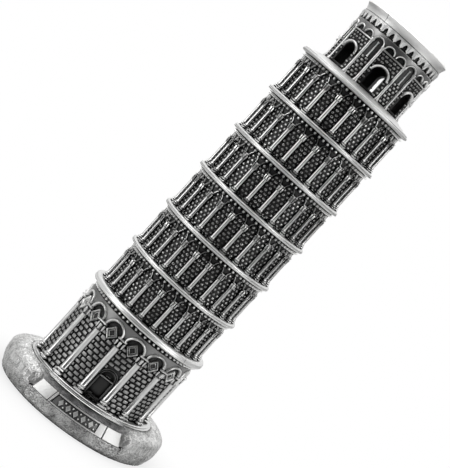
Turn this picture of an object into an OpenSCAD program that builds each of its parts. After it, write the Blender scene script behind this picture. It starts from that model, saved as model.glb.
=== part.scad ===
// Miniature leaning round tower: a stacked-casting souvenir on a rocky pebble-shaped plinth.
//
// Frame: +Z up, the front (door bay and banner) faces -Y, the tower leans towards +X.
// The origin is the centre of the plinth's flat underside, on the surface it stands on.
// Everything above the plinth is drawn upright in the tower's own frame, where heights run
// along the leaning axis from the resting surface, and is then tilted by in_tower().
// Angles round the tower are counted in degrees from the front, anticlockwise from above.

/* [Tower] */
// Lean of the tower axis towards +X, in degrees
lean_angle = 5.5; // [2:0.5:6]
// How far the axis crosses the resting surface to the -X side of the plinth's centre
axis_shift = 1.85; // [0:0.05:3]
// Radius of the poured filling, which is also the bore of every ring and drum
core_r = 20; // [17:0.5:20]

/* [Plinth] */
// Radius of the plinth's underside
plinth_foot_r = 31.7; // [31:0.1:32.5]
// Widest radius of the pebble-shaped plinth
plinth_r = 33.35; // [33:0.05:36]
// Height of the plinth's top face
plinth_h = 11.7; // [11.4:0.1:12.2]
// Angle covered by the cut-in front sector that holds the banner
banner_sector = 73; // [50:0.5:90]
// How far the banner's middle lies round from the front, in degrees
banner_turn = -2.75; // [-10:0.25:10]
// Thickness of the ribbon banner
banner_t = 1.2; // [0.8:0.1:1.6]

/* [Ground storey] */
// Outer radius of the foot ring under the ground storey
foot_ring_r = 26.4; // [25:0.1:27]
// Outer radius of the ground storey's wall
ground_wall_r = 22.4; // [21.5:0.1:23]
// Number of blind arches round the ground storey
ground_bays = 15; // [9:1:18]
// Radius of a half-column's shaft
ground_shaft_r = 1.2; // [0.8:0.1:1.5]
// Width of the doorway
door_w = 5; // [4:0.1:6]

/* [Galleries] */
// Height of one gallery storey, floor to floor
storey_pitch = 17.99; // [16:0.01:20]
// Outer radius of a gallery's wall
gallery_wall_r = 21.4; // [20.5:0.1:21.5]
// Number of columns round a gallery
gallery_columns = 24; // [12:1:30]
// Radius on which the gallery columns stand
column_ring_r = 21.98; // [21.8:0.01:22.2]
// Radius of a gallery column's shaft
gallery_shaft_r = 0.72; // [0.5:0.01:0.9]
// Outer radius of the cornice above the ground storey
first_cornice_r = 25.3; // [24:0.1:26]
// Outer radius of the cornices between the galleries
cornice_r = 24.2; // [23.5:0.1:25]

/* [Belfry] */
// Outer radius of the belfry wall
belfry_r = 16.7; // [16:0.1:17]
// Inner radius of the bell chamber
chamber_r = 14; // [12:0.1:14.4]
// Number of large windows, with a narrow blind bay between each two
belfry_bays = 7; // [5:1:8]
// How far the belfry is turned from the front, in degrees
belfry_turn = -1.5; // [-10:0.5:10]
// Clear width of a large window
window_w = 5.2; // [4:0.1:6]
// Number of corbels under the crown
corbel_count = 36; // [24:1:40]
// Outer radius of the crown at its top edge
crown_r = 18; // [17.6:0.1:18.4]

/* [Hidden] */
$fn = 96;
small_fn = 48;
fine_fn = 288;
front = -90;

// heights in the plinth, measured straight up from the resting surface
pad_h = 1;
pad_r = 29;
pad_recess = 0.7;
plinth_base_z = pad_h - pad_recess;
plinth_wide_z = 6.4;
filling_r = 27;
filling_h = 7.5;
banner_low_r = 32.6;
banner_low_z = 5.5;
banner_high_r = 30.6;
banner_high_z = 9.75;
banner_gap_angle = 1.2;
banner_end_angle = 13;
ring_base_z = 10.4;
ring_shelf_z = 10.9;
ring_top_z = 12.4;

// heights along the tower axis, from the resting surface
ground_capital_h = 32.7;
ground_impost_h = 35.1;
arch_spring_h = 36.1;
lozenge_h = 35;
ground_frieze_h = 40.6;
first_cornice_h = 42.45;
first_gallery_h = 44.75;
ground_trim_r = ground_wall_r + 0.25;
ring_socket_gap = 0.3;

// the ground storey's column bases, arches, lozenges and door
ground_base_r = 1.65;
ground_base_h = 2.4;
archivolt_out_r = 4.1;
archivolt_w = 0.9;
archivolt_depth = 1.1;
lozenge_half = 2.6;
lozenge_line = 0.5;
lozenge_depth = 0.45;
door_sill_h = 14.6;
door_head_h = 21.6;
door_depth = 1.2;

// heights within a gallery storey, from its floor
base_top = 2.2;
shaft_top = 10.5;
capital_top = 12.4;
impost_top = 14.5;
cornice_t = 1.5;
cornice_low = storey_pitch - cornice_t;
gallery_frieze_r = 22.6;

// the belfry, along the tower axis
top_gallery_h = first_gallery_h + 6 * storey_pitch;
belfry_floor_h = top_gallery_h + 1.65;
window_sill_h = belfry_floor_h + 1;
window_spring_h = belfry_floor_h + 6.9;
string_h = belfry_floor_h + 14;
corbel_h = belfry_floor_h + 18.1;
crown_h = belfry_floor_h + 21.4;
crown_top_h = belfry_floor_h + 25.2;
roof_t = 1.3;
terrace_r = 17.5;
corbel_out_r = 17.5;
string_r = 17.1;
hood_inner_r = window_w / 2 + 0.4;
hood_w = 0.75;
hood_depth = 0.7;
colonnette_r = 0.55;
colonnette_angle = 17.2;

silver = [0.62, 0.62, 0.61];
dark_silver = [0.3, 0.3, 0.3];
felt_green = [0.1, 0.22, 0.15];
plaster = [0.8, 0.79, 0.75];

// Tilts what is drawn upright round the Z axis into the leaning tower's place.
module in_tower() {
    translate([-axis_shift, 0, 0])
        rotate([0, lean_angle, 0])
            children();
}

// Turns +X to point outwards at the given angle from the front, at the given radius.
module outward(angle, radius = 0) {
    rotate([0, 0, front + angle])
        translate([radius, 0, 0])
            children();
}

// A plain ring between two radii and two heights.
module ring(inner_r, outer_r, low, high) {
    rotate_extrude()
        translate([inner_r, low])
            square([outer_r - inner_r, high - low]);
}

// Height of the floor of a gallery, counted from 1.
function gallery_floor(n) = first_gallery_h + (n - 1) * storey_pitch;

// Height, in the tower's frame, at which the level top of the foot ring meets a column's axis.
function foot_h(angle, radius) = ring_top_z / cos(lean_angle) + radius * sin(angle) * tan(lean_angle);

// Keeps what stands above the level top of the foot ring.
module above_foot_ring() {
    reach = 2 * plinth_r;
    intersection() {
        children();
        translate([-reach, -reach, ring_top_z])
            cube([2 * reach, 2 * reach, first_gallery_h]);
    }
}

// ---- base ----

module felt_pad() {
    color(felt_green)
        cylinder(r = pad_r, h = pad_h);
}

// The space inside the shells: a wide drum in the plinth and the column that leans up the tower.
module filling_shape() {
    translate([0, 0, pad_h])
        cylinder(r = filling_r, h = filling_h - pad_h);
    intersection() {
        in_tower()
            cylinder(r = core_r, h = top_gallery_h - cornice_t);
        translate([-plinth_r * 2, -plinth_r * 2, pad_h])
            cube([plinth_r * 4, plinth_r * 4, top_gallery_h * 2]);
    }
}

module weight_core() {
    color(plaster)
        filling_shape();
}

// Half section of the pebble shape: sides that swell from the foot, and a wide shoulder.
module plinth_section() {
    shoulder_w = 6.5;
    shoulder_z = 8.4;
    shoulder_h = plinth_h - shoulder_z;
    polygon(concat(
        [[0, plinth_base_z]],
        [for (t = [0:0.1:1]) [
            plinth_foot_r + (plinth_r - plinth_foot_r) * sin(t * 90),
            plinth_base_z + (plinth_wide_z - plinth_base_z) * t
        ]],
        [for (a = [0:9:90]) [
            plinth_r - shoulder_w * (1 - cos(a)),
            shoulder_z + shoulder_h * sin(a)
        ]],
        [[0, plinth_h]]
    ));
}

// Half section of what is cut away at the front, above and in front of the banner's bed.
module banner_cut_section() {
    reach = plinth_r + 2;
    bed_low = [banner_low_r - banner_t, banner_low_z];
    bed_high = [banner_high_r - banner_t, banner_high_z];
    polygon([
        [reach, -1], [banner_low_r + 0.2, -1], [banner_low_r + 0.2, banner_low_z],
        bed_low, bed_high, [foot_ring_r, ring_shelf_z],
        [foot_ring_r, plinth_h + 1], [reach, plinth_h + 1]
    ]);
}

module plinth() {
    color(silver)
        difference() {
            rotate_extrude()
                plinth_section();
            cylinder(r = pad_r, h = pad_h);
            filling_shape();
            rotate([0, 0, front + banner_turn - banner_sector / 2])
                rotate_extrude(angle = banner_sector)
                    banner_cut_section();
            translate([0, 0, ring_base_z])
                cylinder(r = foot_ring_r + ring_socket_gap, h = plinth_h);
        }
}

// A leaning strip that covers the front sector up to the given angle each side, between two depths
// measured outwards from the banner's bed. Its section runs on past both edges by the given margin.
module banner_strip(half_angle, back, face, margin = 0) {
    slope = (banner_high_r - banner_low_r) / (banner_high_z - banner_low_z);
    low = banner_low_z + margin;
    high = banner_high_z - margin;
    function bed_r(z) = banner_low_r - banner_t + slope * (z - banner_low_z);
    rotate([0, 0, front + banner_turn - half_angle])
        rotate_extrude(angle = 2 * half_angle)
            polygon([
                [bed_r(low) + back, low], [bed_r(low) + face, low],
                [bed_r(high) + face, high], [bed_r(high) + back, high]
            ]);
}

// The ribbon leans back on its bed. Its two ends are plain, and its middle is a sunk panel in a border.
module banner() {
    half = banner_sector / 2 - banner_gap_angle;
    panel_depth = 0.35;
    border = 0.5;
    color(silver)
        difference() {
            banner_strip(half, 0, banner_t);
            banner_strip(half - banner_end_angle, banner_t - panel_depth, 2 * banner_t, border);
        }
}

// ---- ground storey ----

// A level, stepped ring. Its bore leans, because the filling passes through it at the tower's angle.
module foot_ring() {
    fillet = 0.8;
    color(silver)
        difference() {
            rotate_extrude()
                polygon([
                    [0, ring_base_z], [foot_ring_r, ring_base_z],
                    [foot_ring_r, ring_shelf_z + 0.3], [foot_ring_r - fillet, ring_shelf_z + 0.7],
                    [foot_ring_r - fillet, ring_shelf_z + 1],
                    [foot_ring_r - 2 * fillet, ring_top_z], [0, ring_top_z]
                ]);
            filling_shape();
        }
}

// The doorway's shape, from the back of its recess outwards: straight sides and a round head.
module doorway(depth) {
    outward(0, ground_wall_r - door_depth) {
        translate([0, -door_w / 2, door_sill_h])
            cube([depth, door_w, door_head_h - door_sill_h]);
        translate([0, 0, door_head_h])
            rotate([0, 90, 0])
                cylinder(r = door_w / 2, h = depth, $fn = 48);
    }
}

module ground_wall() {
    color(dark_silver)
        above_foot_ring()
            in_tower()
                difference() {
                    ring(core_r, ground_wall_r, ring_base_z - 2, first_cornice_h);
                    doorway(2 * door_depth);
                }
}

// A flat leaf with a round head that lies in the back of the doorway.
module door() {
    leaf_t = 0.5;
    color(dark_silver)
        in_tower()
            doorway(leaf_t);
}

// Outline of a half-column that stands at the given height: stepped base, shaft and bell capital.
module ground_column_section(foot) {
    polygon([
        [0, foot - 1], [ground_base_r, foot - 1], [ground_base_r, foot + 0.9],
        [ground_base_r - 0.3, foot + 1.3], [ground_base_r - 0.15, foot + 1.8],
        [ground_shaft_r, foot + ground_base_h], [ground_shaft_r, ground_capital_h],
        [1.5, ground_capital_h + 0.4], [1.5, ground_impost_h], [0, ground_impost_h]
    ]);
}

module ground_columns() {
    impost_w = 3.7;
    impost_depth = 1.5;
    ring_r = ground_wall_r + 0.2;
    pitch = 360 / ground_bays;
    color(silver)
        above_foot_ring()
            in_tower()
                difference() {
                    for (angle = [pitch / 2:pitch:360])
                        outward(angle, ring_r) {
                            rotate_extrude($fn = small_fn)
                                ground_column_section(foot_h(angle, ring_r));
                            translate([-impost_depth, -impost_w / 2, ground_impost_h])
                                cube([2 * impost_depth, impost_w, arch_spring_h - ground_impost_h]);
                        }
                    cylinder(r = ground_wall_r, h = first_cornice_h);
                }
}

// One round-headed moulding in each bay, springing from the imposts.
module ground_arches() {
    mean_r = archivolt_out_r - archivolt_w / 2;
    color(silver)
        in_tower()
            difference() {
                for (i = [0:ground_bays - 1])
                    outward(i * 360 / ground_bays, ground_wall_r + archivolt_depth)
                        translate([0, 0, arch_spring_h])
                            rotate([90, 0, -90])
                                rotate_extrude(angle = 180, $fn = 48)
                                    translate([mean_r - archivolt_w / 2, 0])
                                        square([archivolt_w, 2 * archivolt_depth]);
                cylinder(r = ground_wall_r, h = first_cornice_h);
            }
}

// A square frame standing on its corner in the head of each arch, bent to the wall's curve.
module ground_lozenges() {
    color(silver)
        in_tower()
            intersection() {
                ring(ground_wall_r, ground_wall_r + lozenge_depth, ring_top_z, first_cornice_h);
                for (i = [0:ground_bays - 1])
                    outward(i * 360 / ground_bays, ground_wall_r - 1)
                        translate([0, 0, lozenge_h])
                            rotate([90, 0, 90])
                                linear_extrude(2 + lozenge_depth)
                                    difference() {
                                        circle(r = lozenge_half, $fn = 4);
                                        circle(r = lozenge_half - lozenge_line * sqrt(2), $fn = 4);
                                    }
            }
}

module ground_frieze() {
    color(silver)
        in_tower()
            ring(ground_wall_r, ground_trim_r + 0.9, ground_frieze_h, first_cornice_h);
}

// ---- galleries ----

// A ring-shaped floor whose edge is rounded.
module cornice(outer_r, low, high) {
    edge = (high - low) / 2;
    color(silver)
        in_tower()
            rotate_extrude() {
                translate([core_r, low])
                    square([outer_r - edge - core_r, high - low]);
                translate([outer_r - edge, low + edge])
                    circle(r = edge, $fn = small_fn);
            }
}

module gallery_wall(n) {
    color(dark_silver)
        in_tower()
            ring(core_r, gallery_wall_r, gallery_floor(n), gallery_floor(n) + cornice_low);
}

// Outline of a gallery column: base, shaft, lobed capital and flared impost.
module gallery_column_section() {
    polygon([
        [0, 0], [1.1, 0], [1.1, 0.7], [0.85, 1], [1, 1.5], [gallery_shaft_r, base_top],
        [gallery_shaft_r, shaft_top], [1.1, shaft_top + 0.3], [1.1, capital_top],
        [0.6, capital_top + 0.7], [1.3, impost_top], [0, impost_top]
    ]);
}

module gallery_columns(n) {
    color(silver)
        in_tower()
            translate([0, 0, gallery_floor(n)])
                difference() {
                    for (i = [0:gallery_columns - 1])
                        outward(i * 360 / gallery_columns, column_ring_r)
                            rotate_extrude($fn = small_fn)
                                gallery_column_section();
                    cylinder(r = gallery_wall_r, h = storey_pitch);
                }
}

module gallery_frieze(n) {
    color(silver)
        in_tower()
            ring(gallery_wall_r, gallery_frieze_r, gallery_floor(n) + impost_top,
                gallery_floor(n) + cornice_low);
}

// ---- belfry ----

// The last cornice: a rounded rim and a conical terrace that rises to the belfry's foot.
module terrace() {
    low = top_gallery_h - cornice_t;
    rim_r = cornice_r + 0.2;
    edge = cornice_t / 2;
    color(silver)
        in_tower()
            rotate_extrude() {
                polygon([
                    [0, low], [rim_r - edge, low], [rim_r - edge, top_gallery_h],
                    [terrace_r, belfry_floor_h], [0, belfry_floor_h]
                ]);
                translate([rim_r - edge, low + edge])
                    circle(r = edge, $fn = small_fn);
            }
}

module belfry_wall() {
    color(dark_silver)
        in_tower()
            difference() {
                ring(chamber_r, belfry_r, belfry_floor_h, crown_h);
                for (i = [0:belfry_bays - 1])
                    outward(belfry_turn + i * 360 / belfry_bays, chamber_r - 3) {
                        translate([0, -window_w / 2, window_sill_h])
                            cube([belfry_r, window_w, window_spring_h - window_sill_h]);
                        translate([0, 0, window_spring_h])
                            rotate([0, 90, 0])
                                cylinder(r = window_w / 2, h = belfry_r, $fn = 48);
                    }
            }
}

// A half-round moulding over each large window.
module window_hoods() {
    color(silver)
        in_tower()
            difference() {
                for (i = [0:belfry_bays - 1])
                    outward(belfry_turn + i * 360 / belfry_bays, belfry_r + hood_depth - 0.2)
                        translate([0, 0, window_spring_h])
                            rotate([90, 0, -90])
                                rotate_extrude(angle = 180, $fn = 48)
                                    translate([hood_inner_r, 0])
                                        square([hood_w, 2 * hood_depth]);
                cylinder(r = belfry_r, h = crown_h);
            }
}

// A slender shaft at each edge of every large bay.
module belfry_colonnettes() {
    color(silver)
        in_tower()
            difference() {
                for (i = [0:belfry_bays - 1], side = [-1, 1])
                    outward(belfry_turn + i * 360 / belfry_bays + side * colonnette_angle, belfry_r)
                        translate([0, 0, belfry_floor_h])
                            cylinder(r = colonnette_r, h = string_h - belfry_floor_h, $fn = small_fn);
                cylinder(r = belfry_r, h = crown_h, $fn = fine_fn);
            }
}

// A string course, and the ledge that carries the corbels.
module belfry_string() {
    color(silver)
        in_tower() {
            ring(belfry_r, string_r, string_h, string_h + 0.6);
            ring(belfry_r, string_r, corbel_h - 0.5, corbel_h);
        }
}

// Wedge-shaped corbels set side by side, each wider than the gap beside it.
module corbel_frieze() {
    pitch = 360 / corbel_count;
    color(silver)
        in_tower()
            for (i = [0:corbel_count - 1])
                rotate([0, 0, front + (i - 0.35) * pitch])
                    rotate_extrude(angle = 0.7 * pitch)
                        polygon([
                            [belfry_r, corbel_h], [string_r, corbel_h + 0.2],
                            [corbel_out_r, crown_h], [belfry_r, crown_h]
                        ]);
}

module crown_rim() {
    color(silver)
        in_tower()
            rotate_extrude()
                polygon([
                    [chamber_r + 0.5, crown_h], [corbel_out_r, crown_h],
                    [corbel_out_r + 0.1, crown_h + 1.6], [crown_r, crown_top_h - 0.7],
                    [crown_r, crown_top_h - 0.3], [crown_r - 0.4, crown_top_h],
                    [chamber_r + 0.9, crown_top_h], [chamber_r + 0.5, crown_top_h - 0.4]
                ]);
}

module roof_disc() {
    color(dark_silver)
        in_tower()
            translate([0, 0, crown_h])
                cylinder(r = chamber_r + 0.5, h = roof_t);
}

// ---- drawing ----

felt_pad();
weight_core();
plinth();
banner();
foot_ring();
ground_wall();
ground_columns();
ground_arches();
ground_lozenges();
ground_frieze();
door();
cornice(first_cornice_r, first_cornice_h, first_gallery_h);  // cornice_1
cornice(cornice_r, gallery_floor(2) - cornice_t, gallery_floor(2));  // cornice_2
cornice(cornice_r, gallery_floor(3) - cornice_t, gallery_floor(3));  // cornice_3
cornice(cornice_r, gallery_floor(4) - cornice_t, gallery_floor(4));  // cornice_4
cornice(cornice_r, gallery_floor(5) - cornice_t, gallery_floor(5));  // cornice_5
cornice(cornice_r, gallery_floor(6) - cornice_t, gallery_floor(6));  // cornice_6
gallery_wall(1);  // gallery_wall_1
gallery_wall(2);  // gallery_wall_2
gallery_wall(3);  // gallery_wall_3
gallery_wall(4);  // gallery_wall_4
gallery_wall(5);  // gallery_wall_5
gallery_wall(6);  // gallery_wall_6
gallery_columns(1);  // gallery_columns_1
gallery_columns(2);  // gallery_columns_2
gallery_columns(3);  // gallery_columns_3
gallery_columns(4);  // gallery_columns_4
gallery_columns(5);  // gallery_columns_5
gallery_columns(6);  // gallery_columns_6
gallery_frieze(1);  // gallery_frieze_1
gallery_frieze(2);  // gallery_frieze_2
gallery_frieze(3);  // gallery_frieze_3
gallery_frieze(4);  // gallery_frieze_4
gallery_frieze(5);  // gallery_frieze_5
gallery_frieze(6);  // gallery_frieze_6
terrace();
belfry_wall();
window_hoods();
belfry_colonnettes();
belfry_string();
corbel_frieze();
crown_rim();
roof_disc();
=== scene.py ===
"""Looks of the miniature leaning tower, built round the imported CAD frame.

Relief is drawn in millimetres in the tower's own upright frame: angle 0 is the front (-Y), angles
run anticlockwise from above, heights run along the tower's axis from the resting surface. Each
piece is then scaled to metres and leaned into place.
"""
import math
import random

import bmesh
import bpy
import numpy as np
from mathutils import Matrix, Vector, noise


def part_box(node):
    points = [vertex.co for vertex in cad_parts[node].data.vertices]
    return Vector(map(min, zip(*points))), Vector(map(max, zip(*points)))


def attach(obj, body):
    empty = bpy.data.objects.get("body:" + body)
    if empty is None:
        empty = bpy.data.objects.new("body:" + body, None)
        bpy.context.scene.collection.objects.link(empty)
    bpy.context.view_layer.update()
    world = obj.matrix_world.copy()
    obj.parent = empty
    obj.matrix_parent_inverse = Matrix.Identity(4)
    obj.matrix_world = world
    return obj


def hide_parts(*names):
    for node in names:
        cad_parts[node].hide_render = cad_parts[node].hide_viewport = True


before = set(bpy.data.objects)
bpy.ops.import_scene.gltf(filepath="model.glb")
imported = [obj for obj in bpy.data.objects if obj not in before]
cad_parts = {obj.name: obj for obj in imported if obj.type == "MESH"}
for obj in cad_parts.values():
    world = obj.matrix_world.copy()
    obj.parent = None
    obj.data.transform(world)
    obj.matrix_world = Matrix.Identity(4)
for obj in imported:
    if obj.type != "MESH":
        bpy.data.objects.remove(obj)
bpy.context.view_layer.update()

MM = 0.001
random.seed(7)

# ---------------------------------------------------------------- driving sizes, from the frame


def centre(node):
    low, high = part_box(node)
    return (Vector(low) + Vector(high)) / 2


axis = (centre("cornice_6") - centre("cornice_1")).normalized()
lean = math.atan2(axis.x, axis.z)
foot = centre("cornice_1") - axis * (centre("cornice_1").z / axis.z)
LEANING = Matrix.Translation(foot) @ Matrix.Rotation(lean, 4, "Y") @ Matrix.Scale(MM, 4)
UPRIGHT = Matrix.Scale(MM, 4)


def ring_size(node):
    """Outer radius, lowest and highest height of a leaning ring or drum, in millimetres."""
    low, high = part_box(node)
    radius = (high[1] - low[1]) / 2
    tilt = radius * math.sin(lean)
    return radius / MM, (low[2] + tilt) / math.cos(lean) / MM, (high[2] - tilt) / math.cos(lean) / MM


ring_low, ring_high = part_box("foot_ring")
ring_r = (ring_high[1] - ring_low[1]) / 2 / MM
ring_top = ring_high[2] / MM
ground_r = ring_size("ground_wall")[0]
ground_floor = ring_top / math.cos(lean)
first_cornice_r, ground_top = ring_size("cornice_1")[:2]
cornice_r = ring_size("cornice_2")[0]
terrace_rim_r = ring_size("terrace")[0]
belfry_r, belfry_floor, crown_foot = ring_size("belfry_wall")
crown_r = ring_size("crown_rim")[0]
galleries = [ring_size(f"gallery_wall_{n}") for n in range(1, 7)]
gallery_r = galleries[0][0]
pitch = galleries[1][1] - galleries[0][1]
terrace_top = galleries[5][1] + pitch
plinth_low, plinth_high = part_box("plinth")
plinth_r = (plinth_high[1] - plinth_low[1]) / 2 / MM
plinth_base = plinth_low[2] / MM
plinth_top = plinth_high[2] / MM

SHELF = ring_top - 1.5
SOCKET_R = 20.5
RING_BORE = 21.0
BANNER_TURN = -2.75
BELFRY_TURN = -1.5
CROWN_SEAM = -39.6
CORNICE_SEAM = 41.0
GROUND_BAYS = 15
COLUMNS = 24
BEADS = 72
BELFRY_BAYS = 7
CORBELS = 36

# ---------------------------------------------------------------- mesh helpers


def turned(points, angle):
    """Points drawn at the front, moved round the tower by an angle in degrees."""
    c, s = math.cos(math.radians(angle)), math.sin(math.radians(angle))
    x, y, z = np.asarray(points, float).T
    return np.column_stack((x * c - y * s, x * s + y * c, z))


def all_round(count, start=0.0, shift=0.0):
    """Evenly spaced angles round the tower; shift moves them all by a share of a step."""
    return [start + (k + shift) * 360 / count for k in range(count)]


def on_wall(along, out, height, radius):
    """A point bent round a wall: arc length from the front, depth out of the wall, height."""
    angle = along / radius
    return ((radius + out) * math.sin(angle), -(radius + out) * math.cos(angle), height)


def settled(points):
    """Ground storey points moved so that the storey's foot is level while its cornice leans."""
    points = np.array(points, float)
    share = np.clip((ground_top - points[:, 2]) / (ground_top - ground_floor), 0, 1.2)
    points[:, 2] += share * points[:, 0] * math.tan(lean)
    return points


def grid_faces(rows, columns, close_rows=False, close_columns=False):
    """Faces between the points of a grid that may close on itself either way."""
    faces = []
    for i in range(rows if close_rows else rows - 1):
        for j in range(columns if close_columns else columns - 1):
            k, n = (i + 1) % rows, (j + 1) % columns
            faces.append((i * columns + j, i * columns + n, k * columns + n, k * columns + j))
    return faces


def tube_faces(rows, columns):
    """Faces of a tube made of rings of points, with a cap at each end."""
    caps = [tuple(range(columns - 1, -1, -1)), tuple(range((rows - 1) * columns, rows * columns))]
    return grid_faces(rows, columns, False, True) + caps


def placed(name, data):
    piece = bpy.data.objects.new(name, data)
    bpy.context.scene.collection.objects.link(piece)
    return piece


class Relief:
    """Collects the points and faces of one piece."""

    def __init__(self):
        self.points, self.faces, self.count = [], [], 0

    def add(self, points, faces):
        self.points.append(np.asarray(points, float))
        self.faces += [tuple(self.count + i for i in face) for face in faces]
        self.count += len(points)

    def add_around(self, parts, angles):
        for angle in angles:
            for points, faces in parts:
                self.add(turned(points, angle), faces)

    def make(self, name, finish, replaces=(), place=LEANING, sharp=40, ground=False):
        mesh = bpy.data.meshes.new(name)
        points = np.vstack(self.points)
        mesh.from_pydata((settled(points) if ground else points).tolist(), [], self.faces)
        mesh.transform(place)
        work = bmesh.new()
        work.from_mesh(mesh)
        bmesh.ops.recalc_face_normals(work, faces=work.faces)
        work.to_mesh(mesh)
        work.free()
        mesh.shade_smooth()
        mesh.set_sharp_from_angle(angle=math.radians(sharp))
        mesh.materials.append(finish)
        piece = placed(name, mesh)
        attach(piece, "root")
        if replaces:
            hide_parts(*replaces)
        return piece


def lathe(section, segments=240):
    """A ring round the tower from a closed half section of (radius, height) points."""
    points = []
    for i in range(segments):
        angle = 2 * math.pi * i / segments
        points += [(r * math.sin(angle), -r * math.cos(angle), h) for r, h in section]
    return points, grid_faces(segments, len(section), True, True)


def post(profile, stand_r, along=0.0, out=0.0, segments=16, squash=1.0):
    """A turned upright shaft at the front, on a circle of radius stand_r, from (radius, height) points."""
    points = []
    for radius, height in profile:
        for i in range(segments):
            angle = 2 * math.pi * i / segments
            forward = squash * radius * math.cos(angle)
            points.append((along + radius * math.sin(angle), -(stand_r + out) - forward, height))
    return points, tube_faces(len(profile), segments)


def capsule(width, low, high, stand_r, along, out, segments=10, rings=4, taper=0.8):
    """A drop-shaped lobe: round ends, narrower at its foot."""
    half = width / 2
    profile = []
    for i in range(rings + 1):
        angle = math.pi / 2 * i / rings
        profile.append((max(0.02, half * taper * math.sin(angle)), low + half * (1 - math.cos(angle))))
    for i in range(rings + 1):
        angle = math.pi / 2 * i / rings
        profile.append((max(0.02, half * math.cos(angle)), high - half * (1 - math.sin(angle))))
    return post(profile, stand_r, along, out, segments)


def pillow(left, right, low, high, radius, depth, soft=0.18, corner=0.3, sink=0.15, dome=0.5):
    """A raised block on a wall with rounded edges and corners."""
    rings = ((0.0, -sink), (0.0, depth * 0.45), (soft * 0.35, depth * 0.8), (soft, depth * 0.96),
             (soft + dome * 0.35, depth))
    points = []
    for inset, out in rings:
        l, r, b, t = left + inset, right - inset, low + inset, high - inset
        c = min(corner, (r - l) * 0.35, (t - b) * 0.35)
        outline = ((l + c, b), (r - c, b), (r, b + c), (r, t - c),
                   (r - c, t), (l + c, t), (l, t - c), (l, b + c))
        points += [on_wall(s, out, h, radius) for s, h in outline]
    return points, tube_faces(len(rings), 8)


def moulding(path, section, radius, closed=False):
    """A section of (across, out) points swept along a path of (along, height) points on a wall."""
    points = []
    count = len(path)
    for i, (s, h) in enumerate(path):
        if closed:
            before, after = path[(i - 1) % count], path[(i + 1) % count]
        else:
            before, after = path[max(i - 1, 0)], path[min(i + 1, count - 1)]
        ts, th = after[0] - before[0], after[1] - before[1]
        size = math.hypot(ts, th)
        across_s, across_h = -th / size, ts / size
        points += [on_wall(s + a * across_s, out, h + a * across_h, radius) for a, out in section]
    return points, grid_faces(count, len(section), True, True) if closed else tube_faces(count, len(section))


def round_section(width, depth, steps=6, sink=0.15):
    """Half-round moulding section that runs into the wall."""
    turns = [math.pi * i / steps for i in range(steps + 1)]
    arc = [(-width / 2 * math.cos(turn), depth * math.sin(turn)) for turn in turns]
    return [(-width / 2, -sink)] + arc + [(width / 2, -sink)]


def arch_path(half_width, spring, rise, steps=20, foot_turn=0.0):
    """Round-headed path from right to left; foot_turn adds a short level foot at each end."""
    turns = [math.pi * i / steps for i in range(steps + 1)]
    path = [(half_width * math.cos(turn), spring + rise * math.sin(turn)) for turn in turns]
    if foot_turn:
        path = [(half_width + foot_turn, spring)] + path + [(-half_width - foot_turn, spring)]
    return path


def arcade_band(openings, top, radius, inner, outer, pier_low):
    """A band round the tower whose lower edge is cut by arches.

    openings is a list of (centre angle, half width, spring, rise); between them the band goes down
    to pier_low.
    """
    samples = []
    steps = 14
    for angle, half, spring, rise in openings:
        base = math.radians(angle) * radius
        samples.append((base - half - 0.02, pier_low))
        for i in range(steps + 1):
            t = math.pi * i / steps
            samples.append((base - half * math.cos(t), spring + rise * math.sin(t)))
        samples.append((base + half + 0.02, pier_low))
    points = []
    for along, low in samples:
        corners = ((inner, low), (outer, low), (outer, top), (inner, top))
        points += [on_wall(along, out, h, radius) for out, h in corners]
    return points, grid_faces(len(samples), 4, True, True)


def egg(width, height, depth, at_height, radius, out, rings=5, segments=8):
    """A bead on a wall."""
    points = [on_wall(0, out, at_height - height / 2, radius)]
    for i in range(1, rings):
        t = math.pi * i / rings
        for j in range(segments):
            a = 2 * math.pi * j / segments
            w = math.sin(t) ** 0.7
            points.append(on_wall(width / 2 * w * math.sin(a), out + depth * w * math.cos(a),
                                  at_height - height / 2 * math.cos(t), radius))
    points.append(on_wall(0, out, at_height + height / 2, radius))
    last = len(points) - 1
    faces = [(0, 1 + (j + 1) % segments, 1 + j) for j in range(segments)]
    for i in range(rings - 2):
        for j in range(segments):
            a, b = 1 + i * segments, 1 + (i + 1) * segments
            n = (j + 1) % segments
            faces.append((a + j, a + n, b + n, b + j))
    start = 1 + (rings - 2) * segments
    faces += [(last, start + j, start + (j + 1) % segments) for j in range(segments)]
    return points, faces


def knob(left, right, low, high, radius, depth, square=3.0, sides=12):
    """A brick worn to a cushion: a rounded oblong that swells out of the wall."""
    points = []
    worn = ((1.0, -0.15), (1.0, 0.1), (0.93, 0.62), (0.74, 0.9), (0.4, 1.0))
    sawn = ((1.0, -0.15), (1.0, 0.45), (0.95, 0.82), (0.86, 0.95), (0.5, 1.0))
    rings = sawn if square > 4 else worn
    half_s, half_h = (right - left) / 2, (high - low) / 2
    for scale, out in rings:
        for i in range(sides):
            a = 2 * math.pi * (i + 0.5) / sides
            c, d = math.cos(a), math.sin(a)
            size = (abs(c) ** square + abs(d) ** square) ** (-1 / square)
            points.append(on_wall(left + half_s + half_s * scale * size * c, out * depth,
                                  low + half_h + half_h * scale * size * d, radius))
    return points, tube_faces(len(rings), sides)


def bricks(relief, left, right, low, high, radius, length, course, depth, joint, keep=None, square=3.0):
    """Courses of raised bricks between two arc lengths, every other course moved by half a brick."""
    rows = max(1, round((high - low) / course))
    course = (high - low) / rows
    for row in range(rows):
        b = low + row * course
        s = left - (length / 2 if row % 2 else 0)
        while s < right - 0.3:
            l, r = max(s, left), min(s + length, right)
            s += length
            if r - l < 0.8 or (keep and not keep((l + r) / 2, b + course / 2)):
                continue
            gaps = [joint / 2 * random.uniform(0.6, 1.4) for _ in range(4)]
            relief.add(*knob(l + gaps[0], r - gaps[1], b + gaps[2], b + course - gaps[3], radius,
                             depth * random.uniform(0.7, 1.15), square))


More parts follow.
